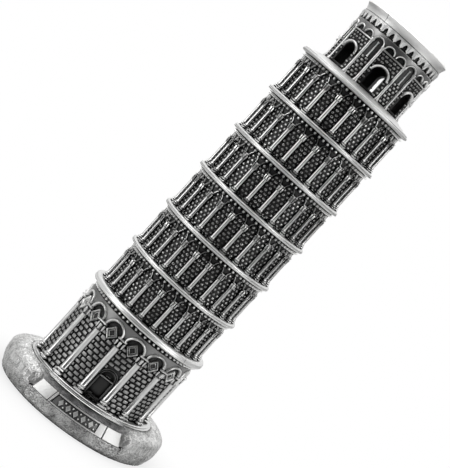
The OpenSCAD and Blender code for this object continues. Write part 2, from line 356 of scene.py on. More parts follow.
# ---------------------------------------------------------------- materials


def shader(name):
    material = bpy.data.materials.new(name)
    material.use_nodes = True
    nodes = material.node_tree.nodes
    return material, nodes, material.node_tree.links, nodes["Principled BSDF"]


def add_noise(nodes, scale, detail, rough=0.5):
    speckle = nodes.new("ShaderNodeTexNoise")
    speckle.inputs["Scale"].default_value = scale
    speckle.inputs["Detail"].default_value = detail
    speckle.inputs["Roughness"].default_value = rough
    return speckle


def add_range(nodes, low, high, to_low=0.0, to_high=1.0, curve="LINEAR"):
    ranged = nodes.new("ShaderNodeMapRange")
    ranged.interpolation_type = curve
    for socket, value in (("From Min", low), ("From Max", high), ("To Min", to_low), ("To Max", to_high)):
        ranged.inputs[socket].default_value = value
    return ranged


def add_tone(nodes, links, surface, share, dark, bright):
    """Mixes two colours into the surface's base colour."""
    tone = nodes.new("ShaderNodeMix")
    tone.data_type = "RGBA"
    tone.inputs["A"].default_value = dark
    tone.inputs["B"].default_value = bright
    links.new(share, tone.inputs["Factor"])
    links.new(tone.outputs["Result"], surface.inputs["Base Color"])


def add_bump(nodes, links, surface, height, strength, depth):
    bump = nodes.new("ShaderNodeBump")
    bump.inputs["Strength"].default_value = strength
    bump.inputs["Distance"].default_value = depth * MM
    links.new(height, bump.inputs["Height"])
    links.new(bump.outputs["Normal"], surface.inputs["Normal"])


def antique_metal(name, bright, dark, bright_rough, dark_rough, cavity, low, high, grain, mottle,
                  streak=1.0, front_shade=False):
    """Silver plate, blackened where the surface is shut in and rubbed bright where it stands free.

    cavity is how near, in millimetres, other metal has to be to shut a surface in. The metal turns
    from dark to bright between the openness low and high. grain is the fine bump, mottle the
    strength of the patches, streak their squeeze along the height. The last flag takes in the painted
    shade that the mesh carries as an attribute of the same name, which darkens the plinth's front.
    """
    material, nodes, links, surface = shader(name)
    place = nodes.new("ShaderNodeTexCoord")
    shut_in = nodes.new("ShaderNodeAmbientOcclusion")
    shut_in.samples = 8
    shut_in.inputs["Distance"].default_value = cavity * MM
    patches = add_noise(nodes, 260, 6, 0.7)
    stretch = nodes.new("ShaderNodeVectorMath")
    stretch.operation = "MULTIPLY"
    stretch.inputs[1].default_value = (1.0, 1.0, streak)
    links.new(place.outputs["Object"], stretch.inputs[0])
    links.new(stretch.outputs["Vector"], patches.inputs["Vector"])
    spread = nodes.new("ShaderNodeMath")
    spread.operation = "MULTIPLY_ADD"
    spread.inputs[1].default_value = mottle
    spread.inputs[2].default_value = -mottle / 2
    links.new(patches.outputs["Fac"], spread.inputs[0])
    worn = nodes.new("ShaderNodeMath")
    worn.operation = "ADD"
    links.new(shut_in.outputs["AO"], worn.inputs[0])
    links.new(spread.outputs[0], worn.inputs[1])
    # painted shade: the shade that the plinth's mesh carries is taken off the wear value, darkening its front
    if front_shade:
        shade_attribute = nodes.new("ShaderNodeAttribute")
        shade_attribute.attribute_name = "front_shade"
        wear_less_shade = nodes.new("ShaderNodeMath")
        wear_less_shade.operation = "SUBTRACT"
        links.new(worn.outputs[0], wear_less_shade.inputs[0])
        links.new(shade_attribute.outputs["Fac"], wear_less_shade.inputs[1])
        worn = wear_less_shade
    mask = add_range(nodes, low, high, curve="SMOOTHSTEP")
    links.new(worn.outputs[0], mask.inputs["Value"])
    add_tone(nodes, links, surface, mask.outputs["Result"],
             (dark, dark, dark * 1.02, 1), (bright, bright, bright * 0.99, 1))
    rough = add_range(nodes, 0.0, 1.0, dark_rough, bright_rough)
    links.new(mask.outputs["Result"], rough.inputs["Value"])
    links.new(rough.outputs["Result"], surface.inputs["Roughness"])
    surface.inputs["Metallic"].default_value = 1.0
    fine = add_noise(nodes, 1500, 4)
    links.new(stretch.outputs["Vector"], fine.inputs["Vector"])
    add_bump(nodes, links, surface, fine.outputs["Fac"], grain, 0.12)
    return material


def plain_finish(name, colour, rough, scale):
    """Felt and filling: a soft speckled surface."""
    material, nodes, links, surface = shader(name)
    place = nodes.new("ShaderNodeTexCoord")
    speckle = add_noise(nodes, scale, 5)
    links.new(place.outputs["Object"], speckle.inputs["Vector"])
    shaded = tuple(c * 0.6 for c in colour)
    add_tone(nodes, links, surface, speckle.outputs["Fac"], shaded + (1,), colour + (1,))
    surface.inputs["Roughness"].default_value = rough
    add_bump(nodes, links, surface, speckle.outputs["Fac"], 0.4, 0.1)
    return material


silver = antique_metal("antique_silver", 0.84, 0.03, 0.40, 0.5, 1.2, 0.36, 0.82, 0.14, 0.25)
# painted shade: a slightly darker, glossier copy of the silver for the columns and the foot ring
dimmed_column_silver = antique_metal("dimmed_column_silver", 0.8, 0.025, 0.28, 0.5, 1.1, 0.4, 0.86, 0.14, 0.35)
brick_silver = antique_metal("brick_silver", 0.4, 0.012, 0.32, 0.5, 0.9, 0.62, 1.04, 0.7, 0.75, streak=2.2)
knob_silver = antique_metal("knob_silver", 0.52, 0.008, 0.22, 0.5, 1.0, 0.68, 1.12, 0.5, 1.2)
# painted light: a brighter copy of the silver, darkened less in its hollows, for the beads under the cornices
# and the lozenge frames
lit_bead_silver = antique_metal("lit_bead_silver", 0.98, 0.06, 0.32, 0.5, 0.6, 0.15, 0.6, 0.15, 0.2)
# painted light: a brighter copy of the silver for the crown and the corbel teeth
lit_crown_silver = antique_metal("lit_crown_silver", 0.96, 0.1, 0.50, 0.5, 0.7, 0.25, 0.72, 0.3, 0.4, streak=3.0)
# painted shade: a darker copy of the silver that tones down the highlight on the terrace
dimmed_terrace_silver = antique_metal("dimmed_terrace_silver", 0.74, 0.1, 0.52, 0.55, 0.7, 0.25, 0.72, 0.3, 0.5, streak=3.0)
wall_black = antique_metal("wall_black", 0.06, 0.01, 0.45, 0.6, 1.5, 0.5, 1.0, 0.5, 0.3)
spandrel_silver = antique_metal("spandrel_silver", 0.3, 0.03, 0.38, 0.5, 1.6, 0.45, 1.0, 0.4, 0.4)
door_silver = antique_metal("door_silver", 0.15, 0.02, 0.4, 0.55, 1.2, 0.45, 1.0, 0.5, 0.5)
# the plinth's metal takes in painted shade that darkens its front and the slope above the ribbon
rock_silver = antique_metal("rocky_silver", 0.9, 0.06, 0.36, 0.6, 0.8, 0.45, 1.15, 1.0, 0.9, front_shade=True)
ribbon_silver = antique_metal("ribbon_silver", 0.62, 0.25, 0.45, 0.55, 0.5, 0.2, 0.85, 0.5, 0.6)
felt = plain_finish("green_felt", (0.03, 0.09, 0.05), 0.95, 900)
filling = plain_finish("resin_filling", (0.7, 0.68, 0.62), 0.6, 300)

# ---------------------------------------------------------------- plinth


def plinth_profile(count=60):
    """Pebble half section as (radius, height) from the foot round the shoulder to the middle."""
    foot_r, wide_z, shoulder_w, shoulder_z = plinth_r - 1.65, 6.4, 6.5, 8.4
    points = []
    for i in range(count // 2):
        t = i / (count // 2)
        swell = (plinth_r - foot_r) * math.sin(t * math.pi / 2)
        points.append((foot_r + swell, plinth_base + (wide_z - plinth_base) * t))
    for i in range(count // 2 + 1):
        a = math.pi / 2 * i / (count // 2)
        rise = (plinth_top - shoulder_z) * math.sin(a)
        points.append((plinth_r - shoulder_w * (1 - math.cos(a)), shoulder_z + rise))
    return points


BANNER_LOW = (32.6, 5.5)
BANNER_HIGH = (30.6, 9.75)
BANNER_T = 1.2


def rocky_plinth():
    """One skin: the pebble, its flattened front sector and the socket that holds the foot ring."""
    relief = Relief()
    half_sector = 36.5
    count = 66
    bun = plinth_profile(count)
    bed = BANNER_T
    cut = [(31.6, plinth_base), (32.5, 1.6), (32.75, 5.3), (BANNER_LOW[0] - bed, BANNER_LOW[1]),
           (BANNER_HIGH[0] - bed, BANNER_HIGH[1]), (28.2, 10.5), (ring_r, SHELF)]
    lengths = [math.dist(cut[i], cut[i + 1]) for i in range(len(cut) - 1)]
    total = sum(lengths)

    def cut_at(t):
        goal = t * total
        for i, size in enumerate(lengths):
            if goal <= size or i == len(lengths) - 1:
                k = min(1.0, goal / size)
                return tuple(cut[i][c] + (cut[i + 1][c] - cut[i][c]) * k for c in (0, 1))
            goal -= size

    angles = []
    angle = -180.0
    while angle < 180.0 - 1e-6:
        angles.append(angle)
        angle += 0.12 if abs(abs(angle) - half_sector) < 0.7 else 0.4
    points, front_shades = [], []
    rows = len(bun)
    for angle in angles:
        turn = math.radians(angle + BANNER_TURN)
        for i, (r, z) in enumerate(bun):
            cr, cz = cut_at(i / (rows - 1))
            # the wall under the banner ends in a seam, the slope above it fades into the pebble
            on_wall_part = cz < BANNER_LOW[1] + 0.1
            edge, fade = (half_sector + 0.25, 0.5) if on_wall_part else (half_sector + 3.5, 6.5)
            k = min(1.0, max(0.0, (edge - abs(angle)) / fade))
            k = k * k * (3 - 2 * k)
            r2, z2 = r + (cr - r) * k, z + (cz - z) * k
            place = Vector((r2 * math.sin(turn), -r2 * math.cos(turn), z2))
            on_slope = k if cz > BANNER_LOW[1] else 0.0
            lump = max(0.0, noise.fractal(place * 0.3, 1.0, 2.0, 3)) * 0.25 * (1 - k)
            pits = noise.fractal(place * 2.6, 0.6, 2.1, 4)
            inward = max(0.0, 0.14 + lump + 0.22 * pits) * (1 - 0.6 * on_slope)
            shoulder = min(1.0, max(0.0, (z2 - 8.5) / 3.0))
            r3, z3 = r2 - inward * (1 - 0.8 * shoulder), z2 - inward * shoulder
            points.append((r3 * math.sin(turn), -r3 * math.cos(turn), max(plinth_base, z3)))
            # painted shade: the front of the plinth darker, and the slope above the ribbon darker still
            front = 0.5 + 0.5 * math.cos(turn)
            above_ribbon = min(1.0, max(0.0, (cz - BANNER_HIGH[1] + 0.5) / 0.6)) * k
            front_shades.append(0.12 * front ** 3 + 0.3 * above_ribbon)
    merged, front_shade = [], []
    for i, angle in enumerate(angles):
        turn = math.radians(angle + BANNER_TURN)
        merged += points[i * rows:(i + 1) * rows]
        front_shade += front_shades[i * rows:(i + 1) * rows] + [0.3, 0.3]
        x, y = SOCKET_R * math.sin(turn), -SOCKET_R * math.cos(turn)
        merged += [(x, y, plinth_top - 4.0), (x, y, plinth_base)]
    relief.add(merged, grid_faces(len(angles), rows + 2, True, True))
    plinth = relief.make("rocky_plinth", rock_silver, ("plinth",), UPRIGHT, sharp=60)
    # the painted shade is kept as a point attribute for the plinth's metal
    plinth.data.attributes.new("front_shade", "FLOAT", "POINT").data.foreach_set("value", front_shade)


def ribbon_banner():
    """Inclined ribbon with plain tails and a sunk middle panel that carries a generic ornament."""
    low, high, bed = BANNER_LOW, BANNER_HIGH, BANNER_T
    slant = math.dist(low, high)
    ux, uz = (high[0] - low[0]) / slant, (high[1] - low[1]) / slant
    nx, nz = uz, -ux

    def on_ribbon(angle, up, out):
        """A point at an angle from the front, a distance up the slope and a depth out of its bed."""
        r = low[0] + ux * up + nx * (out - bed)
        a = math.radians(angle)
        return (r * math.sin(a), -r * math.cos(a), low[1] + uz * up + nz * (out - bed))

    def plate(left, right, up0, up1, out1, lean_left=0.0, lean_right=0.0, out0=0.0, soft=0.14, steps=24):
        """A bent plate whose ends may slope: each lean moves that end's top edge along, in degrees."""
        outline = ((up0, out0), (up0, out1 - soft), (up0 + soft, out1),
                   (up1 - soft, out1), (up1, out1 - soft), (up1, out0))
        points = []
        stops = [0.0, 0.006] + [i / steps for i in range(1, steps)] + [0.994, 1.0]
        for t in stops:
            at_end = t in (0.0, 1.0)
            for up, out in outline:
                l, r = left + lean_left * up / slant, right + lean_right * up / slant
                points.append(on_ribbon(l + (r - l) * t, up, max(out0, out - soft) if at_end else out))
        return points, tube_faces(len(stops), len(outline))

    tails = Relief()
    tails.add(*plate(-36.2, -23.3, 0.0, slant, bed, 1.2, 1.4))
    tails.add(*plate(-22.9, -21.4, 0.0, slant, bed - 0.12, 1.4, 1.4))
    tails.add(*plate(18.4, 31.6, 0.0, slant, bed, 0.2, -1.8))
    tails.add(*plate(12.6, 17.7, 0.0, slant, bed - 0.15, 0.4, 0.2))
    tails.make("ribbon_tails", ribbon_silver, ("banner",), UPRIGHT)

    panel = Relief()
    panel.add(*plate(-21.1, 12.8, 0.0, slant, 0.55, 1.4, 0.4))
    panel.make("banner_panel", spandrel_silver, (), UPRIGHT)

    ornament = Relief()
    ornament.add(*plate(-21.0, 12.7, 0.0, 0.5, bed, 0.1, 0.0, 0.3))
    ornament.add(*plate(-19.8, 13.0, slant - 0.5, slant, bed, 0.1, 0.0, 0.3))
    middle = slant / 2
    for angle in (-15.4, -9.6, -3.8, 2.0, 7.8):
        half_up, half_turn = 1.45, 1.75
        for grow, out0, out1 in ((1.0, 0.4, 1.1), (0.45, 1.0, 1.25)):
            tall, wide = half_up * grow, half_turn * grow
            corners = ((0, -tall), (wide, 0), (0, tall), (-wide, 0))
            points = []
            for scale, out in ((1.0, out0), (1.0, out1 - 0.2), (0.78, out1)):
                points += [on_ribbon(angle + a * scale, middle + up * scale, out) for a, up in corners]
            ornament.add(points, tube_faces(3, 4))
        for side in (-1, 1):
            points = []
            for scale, out in ((1.0, 0.45), (0.95, 0.8), (0.6, 1.05), (0.15, 1.12)):
                for i in range(10):
                    a = 2 * math.pi * i / 10
                    points.append(on_ribbon(angle + 2.9 + 0.7 * scale * math.cos(a),
                                            middle + side * 0.95 + 0.42 * scale * math.sin(a), out))
            ornament.add(points, tube_faces(4, 10))
    ornament.make("banner_ornament", silver, (), UPRIGHT)


# ---------------------------------------------------------------- ground storey


def foot_ring_piece():
    """Level ring with three fillet lines."""
    relief = Relief()
    r, low, top = ring_r, SHELF - 0.5, ring_top
    section = [
        (RING_BORE, low), (r - 0.1, low), (r - 0.1, SHELF - 0.05), (r, SHELF + 0.05), (r, SHELF + 0.2),
        (r - 0.15, SHELF + 0.35), (r - 0.5, SHELF + 0.38), (r - 0.55, SHELF + 0.5), (r - 0.5, SHELF + 0.65),
        (r - 0.62, SHELF + 0.8), (r - 1.15, SHELF + 0.85), (r - 1.3, SHELF + 0.95), (r - 1.25, SHELF + 1.2),
        (r - 1.45, SHELF + 1.4), (r - 1.9, top - 0.05), (r - 2.2, top), (RING_BORE, top),
    ]
    relief.add(*lathe(section, 300))
    relief.make("foot_ring_mouldings", dimmed_column_silver, ("foot_ring",), UPRIGHT)


ARCH_SPRING = 36.1
ARCH_HALF = 4.3
ARCH_RISE = 3.75
LOZENGE_H = 35.0
FRIEZE_LOW = 40.6
DOOR_SILL = 14.6
DOOR_HEAD = 21.6


def ground_bricks():
    relief = Relief()
    bay = 2 * math.pi * ground_r / GROUND_BAYS
    for k in range(GROUND_BAYS):
        middle = k * bay

        def keep(s, h, middle=middle, door_bay=k == 0):
            s = s - middle
            if h > LOZENGE_H + 0.4:
                return False
            if abs(s) / 2.9 + abs(h - LOZENGE_H) / 3.3 < 1:
                return False
            return not (door_bay and (h < DOOR_HEAD or math.hypot(s, h - DOOR_HEAD) < 3.9))

        bricks(relief, middle - 3.7, middle + 3.7, ground_floor + 0.1, ARCH_SPRING, ground_r,
               2.6, 1.66, 0.5, 0.55, keep, square=8.0)
    relief.make("ground_bricks", brick_silver, ground=True)


def ground_columns():
    relief = Relief()
    r = ground_r + 0.2
    floor = ground_floor
    shaft = 1.2
    profile = [
        (1.3, floor - 0.1), (1.3, floor + 2.3), (1.42, floor + 2.45), (1.42, floor + 2.7),
        (1.28, floor + 2.8), (shaft, floor + 3.0), (shaft - 0.03, 24.0), (shaft - 0.05, 32.2),
        (shaft + 0.12, 32.3), (shaft + 0.12, 32.5), (shaft - 0.2, 32.6), (0.6, 32.8), (0.6, 35.1),
        (1.0, 35.3),
    ]
    parts = [post(profile, r, segments=24)]
    for along, out, width in ((-1.42, 0.25, 0.9), (0.0, 0.95, 1.1), (1.42, 0.25, 0.9)):
        parts.append(capsule(width, 32.7, 35.1, r, along, out, taper=0.75))
    blocks = ((1.95, 35.3, 36.15, 1.9, 0.22, 0.25, 0.1),
              (1.85, floor - 0.1, floor + 1.1, 1.95, 0.2, 0.3, 0.15),
              (1.5, floor + 1.3, floor + 2.3, 1.7, 0.3, 0.4, 0.15))
    for half, low, high, depth, soft, corner, dome in blocks:
        parts.append(pillow(-half, half, low, high, ground_r, depth, soft, corner, dome=dome))
    for middle in (-1.45, 1.45):
        parts.append(knob(middle - 0.45, middle + 0.45, floor + 0.05, floor + 1.0, ground_r, 2.3, 2.4))
    relief.add_around(parts, all_round(GROUND_BAYS, shift=0.5))
    relief.make("ground_half_columns", dimmed_column_silver, ("ground_columns",), ground=True)


def ground_arches():
    relief = Relief()
    mean, rise = ARCH_HALF - 0.5, ARCH_RISE - 0.45
    rim = moulding(arch_path(mean, ARCH_SPRING, rise, 28), round_section(1.0, 1.3, 8), ground_r)
    relief.add_around([rim], all_round(GROUND_BAYS))
    relief.make("ground_archivolts", silver, ("ground_arches",), ground=True)

    spandrels = Relief()
    openings = [(angle, mean, ARCH_SPRING, rise) for angle in all_round(GROUND_BAYS)]
    spandrels.add(*arcade_band(openings, FRIEZE_LOW + 0.1, ground_r, -0.2, 0.55, ARCH_SPRING))
    spandrels.make("ground_spandrels", spandrel_silver, ground=True)


def ground_lozenges():
    relief = Relief()
    parts = []
    for half, rise, width, depth in ((2.2, 2.5, 0.52, 0.95), (1.35, 1.55, 0.25, 0.3)):
        corners = [(half, LOZENGE_H), (0, LOZENGE_H + rise), (-half, LOZENGE_H), (0, LOZENGE_H - rise)]
        path = []
        for i in range(4):
            a, b = corners[i], corners[(i + 1) % 4]
            path += [(a[0] + (b[0] - a[0]) * t, a[1] + (b[1] - a[1]) * t) for t in (0.0, 0.03, 0.5, 0.97)]
        parts.append(moulding(path, round_section(width, depth, 4), ground_r, closed=True))
    relief.add_around(parts, all_round(GROUND_BAYS))
    relief.make("ground_lozenge_frames", lit_bead_silver, ("ground_lozenges",), ground=True)


def ground_frieze():
    """Dark band with a row of beads, each a little dentil with a rounded face."""
    band = Relief()
    r, low = ground_r, FRIEZE_LOW
    band.add(*lathe([(r - 0.2, low), (r + 0.5, low), (r + 0.6, low + 0.15), (r + 0.5, low + 0.3),
                     (r + 0.4, low + 0.4), (r + 0.4, ground_top), (r - 0.2, ground_top)]))
    band.make("ground_frieze_band", wall_black, (), ground=True)
    beads = Relief()
    bead = egg(1.12, 1.15, 1.25, ground_top - 0.95, r + 0.5, 0.0)
    beads.add_around([bead], all_round(BEADS))
    beads.make("ground_bead_row", lit_bead_silver, ("ground_frieze",), ground=True)


def door():
    """Dark round-headed doorway with a thin light lintel and rubble at its foot."""
    half = 2.45
    back = ground_r - 1.2
    leaf = Relief()
    for low, high, soft, corner in ((DOOR_SILL, DOOR_HEAD - 0.1, 0.08, 0.05),
                                    (DOOR_HEAD + 0.3, DOOR_HEAD + 2.3, 0.1, 1.6)):
        leaf.add(*pillow(-half, half, low, high, back, 0.5, soft=soft, corner=corner, dome=0.05))
    leaf.make("door_leaf", wall_black, ("door",), ground=True)

    surround = Relief()
    for radius, width, depth in ((2.75, 0.4, 0.3), (3.4, 0.45, 0.4)):
        head = arch_path(radius, DOOR_HEAD + 0.35, radius, 20)
        surround.add(*moulding(head, round_section(width, depth), ground_r))
    for jamb in (-2.9, 2.9):
        surround.add(*pillow(jamb - 0.35, jamb + 0.35, ground_floor, DOOR_HEAD - 0.2, ground_r, 0.35,
                             soft=0.1, corner=0.08, dome=0.1))
    rubble = Relief()
    for _ in range(46):
        s, h = random.uniform(-2.9, 2.9), ground_floor + random.uniform(0.1, 2.2)
        size = random.uniform(0.3, 0.62)
        rubble.add(*knob(s - size, s + size, h - size * 0.8, h + size * 0.8, ground_r - 0.5,
                         0.6 + random.uniform(0.2, 0.8), 2.2, 8))
    surround.make("door_surround", door_silver, (), ground=True)
    rubble.make("door_rubble", wall_black, (), ground=True)

    lines = Relief()
    lines.add(*pillow(-2.8, 2.8, DOOR_HEAD - 0.2, DOOR_HEAD + 0.3, ground_r, 0.7,
                      soft=0.14, corner=0.1, dome=0.1))
    for s, rise, size in ((-0.55, 0.75, 0.32), (0.1, 0.85, 0.4), (0.7, 0.75, 0.3)):
        h = DOOR_HEAD + rise
        lines.add(*knob(s - size, s + size, h - 0.25, h + 0.25, back + 0.4, 0.5, 2.2, 10))
    lines.make("door_lintel", brick_silver, (), ground=True)


# ---------------------------------------------------------------- cornices and galleries


def cornice_section(r, low, high, wall_r):
    """Rounded rim with a groove round its edge and a cove below."""
    t = high - low
    return [
        (wall_r - 0.3, low - 0.25), (wall_r + 1.3, low - 0.25), (r - 0.75, low - 0.08), (r - 0.3, low),
        (r - 0.08, low + 0.1 * t), (r, low + 0.24 * t), (r - 0.02, low + 0.36 * t), (r - 0.2, low + 0.46 * t),
        (r - 0.2, low + 0.52 * t), (r - 0.06, low + 0.6 * t), (r - 0.08, low + 0.68 * t),
        (r - 0.22, low + 0.8 * t), (r - 0.5, low + 0.91 * t), (r - 0.9, high - 0.01 * t), (r - 1.3, high),
        (wall_r - 0.3, high),
    ]


def seam(section, angle, name, width=0.2, proud=0.04):
    """The thin dark line where a strip casting was bent round and closed."""
    points = []
    for r, z in section:
        half = math.degrees(width / 2 / r)
        across = ((-half, -0.1), (-half / 2, proud), (half / 2, proud), (half, -0.1))
        points += [turned([(0.0, -(r + out), z)], angle + turn)[0] for turn, out in across]
    relief = Relief()
    relief.add(points, tube_faces(len(section), 4))
    relief.make(name, wall_black)


def cornices():
    first = cornice_section(first_cornice_r, ground_top, galleries[0][1], ground_r)
    seam(first[2:-1], CORNICE_SEAM, "cornice_seam_1")
    relief = Relief()
    relief.add(*lathe(first, 300))
    relief.make("cornice_ring_1", silver, ("cornice_1",))
    for n in range(2, 7):
        relief = Relief()
        low, high = galleries[n - 2][2], galleries[n - 1][1]
        relief.add(*lathe(cornice_section(cornice_r, low, high, gallery_r), 300))
        relief.make(f"cornice_ring_{n}", silver, (f"cornice_{n}",))


COLUMN_R = 21.98
CAPITAL_LOW = 10.6
CAPITAL_TOP = 12.5
GALLERY_SPRING = 12.95


def gallery_column_parts():
    shaft = 0.72
    profile = [
        (0.8, 0.0), (0.8, 1.5), (0.94, 1.65), (0.94, 1.85), (0.84, 2.0), (shaft + 0.02, 2.1), (shaft, 2.4),
        (shaft - 0.02, 6.5), (shaft - 0.04, CAPITAL_LOW - 0.4), (shaft + 0.12, CAPITAL_LOW - 0.32),
        (shaft + 0.12, CAPITAL_LOW - 0.12), (shaft - 0.2, CAPITAL_LOW), (0.45, CAPITAL_TOP - 0.3),
        (0.6, CAPITAL_TOP + 0.1), (0.7, GALLERY_SPRING),
    ]
    parts = [post(profile, COLUMN_R, segments=16)]
    for along, out in ((-0.82, 0.25), (0.0, 0.6), (0.82, 0.25)):
        parts.append(capsule(0.64, CAPITAL_LOW, CAPITAL_TOP, COLUMN_R, along, out, 8, 3, 0.75))
    for side in (-1, 1):
        volute, toe = side * 0.85, side * 0.95
        parts.append(knob(volute - 0.36, volute + 0.36, CAPITAL_TOP + 0.1, CAPITAL_TOP + 0.7, gallery_r,
                          1.5, 2.2, 8))
        parts.append(knob(toe - 0.35, toe + 0.35, 0.1, 0.75, gallery_r, 1.9, 2.4, 8))
    parts.append(pillow(-1.2, 1.2, -0.05, 0.62, gallery_r, 1.85, soft=0.15, corner=0.2, dome=0.1))
    parts.append(pillow(-0.98, 0.98, 0.78, 1.4, gallery_r, 1.75, soft=0.18, corner=0.25, dome=0.1))
    return parts


def gallery_storeys():
    columns = gallery_column_parts()
    bay = 2 * math.pi * gallery_r / COLUMNS
    half = bay / 2 - 0.4
    for n, (wall_r, floor, top) in enumerate(galleries, start=1):
        relief = Relief()
        lifted = [([(x, y, z + floor) for x, y, z in points], faces) for points, faces in columns]
        for side in (-1, 1):
            spring = floor + GALLERY_SPRING
            flare = [(side * 0.8, floor + CAPITAL_TOP + 0.3), (side * 0.95, spring + 0.4),
                     (side * 1.25, spring + 1.2), (side * 1.75, spring + 1.85)]
            lifted.append(moulding(flare, round_section(0.42, 0.95, 5), wall_r))
        relief.add_around(lifted, all_round(COLUMNS))
        relief.make(f"gallery_arcade_{n}", dimmed_column_silver, (f"gallery_columns_{n}",))

        wall = Relief()
        for k in range(COLUMNS):
            middle = (k + 0.5) * bay
            start = random.uniform(-0.4, 0.4)
            bricks(wall, middle - 2.5 + start, middle + 2.3, floor + 0.5, floor + 14.4, wall_r,
                   1.75, 1.45, 0.42, 0.5, square=2.3)
            for _ in range(5):
                s, size = random.uniform(-2.0, 2.0), random.uniform(0.25, 0.45)
                wall.add(*knob(middle + s - size, middle + s + size, floor + 0.05, floor + 0.2 + 2 * size,
                               wall_r, random.uniform(0.5, 1.1), 2.2, 8))
        wall.make(f"gallery_bricks_{n}", knob_silver)

        band = Relief()
        openings = [(angle, half, floor + GALLERY_SPRING, 2.15) for angle in all_round(COLUMNS, shift=0.5)]
        band.add(*arcade_band(openings, top, wall_r, -0.2, 0.45, floor + GALLERY_SPRING))
        band.make(f"gallery_spandrels_{n}", wall_black)

        beads = Relief()
        bead = egg(1.02, 1.2, 1.35, top - 0.95, wall_r + 0.45, 0.0)
        beads.add_around([bead], all_round(BEADS))
        beads.make(f"gallery_bead_row_{n}", lit_bead_silver, (f"gallery_frieze_{n}",))


# ---------------------------------------------------------------- belfry

LARGE_HALF = 17.2
NARROW_HALF = 180 / BELFRY_BAYS - LARGE_HALF
STRING_LOW = 14.0
WINDOW_SPRING = 6.9
LARGE_BAYS = all_round(BELFRY_BAYS, BELFRY_TURN)
NARROW_BAYS = all_round(BELFRY_BAYS, BELFRY_TURN, 0.5)


def terrace_piece():
    relief = Relief()
    low, high, r = galleries[5][2], terrace_top, terrace_rim_r
    t = high - low
    section = [
        (10.0, low - 0.2), (gallery_r + 1.3, low - 0.2), (r - 0.7, low - 0.05), (r - 0.3, low),
        (r - 0.05, low + 0.15 * t), (r, low + 0.32 * t), (r - 0.05, low + 0.5 * t), (r - 0.3, low + 0.6 * t),
        (r - 0.45, low + 0.66 * t), (r - 0.42, low + 0.8 * t), (r - 0.62, high - 0.05), (r - 1.3, high + 0.1),
        (21.4, high + 0.42), (21.2, high + 0.62), (20.9, high + 0.66), (19.2, high + 1.0),
        (18.9, high + 1.22), (18.5, high + 1.24), (17.4, belfry_floor), (10.0, belfry_floor),
    ]
    relief.add(*lathe(section, 300))
    relief.make("terrace_ring", dimmed_terrace_silver, ("terrace",))


def belfry_bricks():
    relief = Relief()
    per_degree = 2 * math.pi * belfry_r / 360
    edge = LARGE_HALF * per_degree - 0.5
    half = NARROW_HALF * per_degree - 0.45
    low = belfry_floor + 0.2
    spring = belfry_floor + WINDOW_SPRING
    for large, slim in zip(LARGE_BAYS, NARROW_BAYS):
        middle, narrow = large * per_degree, slim * per_degree

        def keep(s, h, middle=middle):
            s = s - middle
            if h < spring and abs(s) < 3.0:
                return False
            return h <= spring - 0.2 or math.hypot(s, h - spring) > 3.9

        bricks(relief, middle - edge, middle + edge, low, belfry_floor + STRING_LOW - 0.1, belfry_r,
               1.7, 1.3, 0.4, 0.42, keep, square=3.0)
        bricks(relief, narrow - half, narrow + half, low, belfry_floor + 8.9, belfry_r,
               1.75, 1.25, 0.42, 0.38, square=3.5)
    relief.make("belfry_bricks", brick_silver)


def belfry_windows():
    relief = Relief()
    head = arch_path(3.38, belfry_floor + WINDOW_SPRING + 0.05, 3.05, 24, foot_turn=0.55)
    relief.add_around([moulding(head, round_section(0.95, 1.05), belfry_r)], LARGE_BAYS)
    relief.make("window_hood_moulds", silver, ("window_hoods",))


def belfry_shafts():
    relief = Relief()
    f = belfry_floor
    profile = [(0.95, f), (0.95, f + 0.35), (0.75, f + 0.5), (0.82, f + 0.7), (0.78, f + 0.9),
               (0.56, f + 1.05), (0.54, f + 13.2), (0.68, f + 13.3), (0.7, f + 13.5), (0.55, f + 13.6),
               (0.6, f + 14.0), (0.85, f + 14.6), (0.8, f + 15.2)]
    shaft = post(profile, belfry_r + 0.12, segments=14)
    relief.add_around([shaft], [angle + side * LARGE_HALF for angle in LARGE_BAYS for side in (-1, 1)])
    slim = [(0.4, f + 8.9), (0.42, f + 9.2), (0.27, f + 9.4), (0.26, f + 14.6), (0.4, f + 14.9),
            (0.4, f + 15.2)]
    relief.add_around([post(slim, belfry_r + 0.1, segments=10)], NARROW_BAYS)
    relief.make("belfry_shafts", silver, ("belfry_colonnettes",))


def belfry_arcade():
    """String course, two small blind arches over each large bay, one tall one in each narrow bay."""
    relief = Relief()
    per_degree = 2 * math.pi * belfry_r / 360
    f = belfry_floor
    small = 1.7
    spring = f + 14.85
    openings = []
    offset = LARGE_HALF / 2 - 0.2
    narrow_half = NARROW_HALF * per_degree - 0.6
    for angle in LARGE_BAYS:
        for side in (-1, 1):
            openings.append((angle + side * offset, small, spring, small))
        openings.append((angle + 180 / BELFRY_BAYS, narrow_half, spring - 0.1, 1.95))
    band = Relief()
    band.add(*arcade_band(openings, f + 18.0, belfry_r, -0.2, 0.42, spring - 0.1))
    band.make("belfry_spandrels", spandrel_silver)
    for angle, half, low, rise in openings:
        head = arch_path(half + 0.25, low, rise + 0.25, 18)
        relief.add_around([moulding(head, round_section(0.62, 0.95, 6), belfry_r)], [angle])
    string_half = LARGE_HALF * per_degree - 0.3
    steps = 16
    level = [(-string_half + 2 * string_half * i / steps, f + 14.32) for i in range(steps + 1)]
    relief.add_around([moulding(level, round_section(0.72, 0.62, 5), belfry_r)], LARGE_BAYS)
    r = belfry_r
    ledge = [(r - 0.2, f + 17.9), (r + 0.42, f + 17.9), (r + 0.3, f + 18.05), (r + 0.3, f + 18.15),
             (r + 0.5, f + 18.3), (r - 0.2, f + 18.4)]
    relief.add(*lathe(ledge))
    relief.make("belfry_blind_arcade", silver, ("belfry_string",))


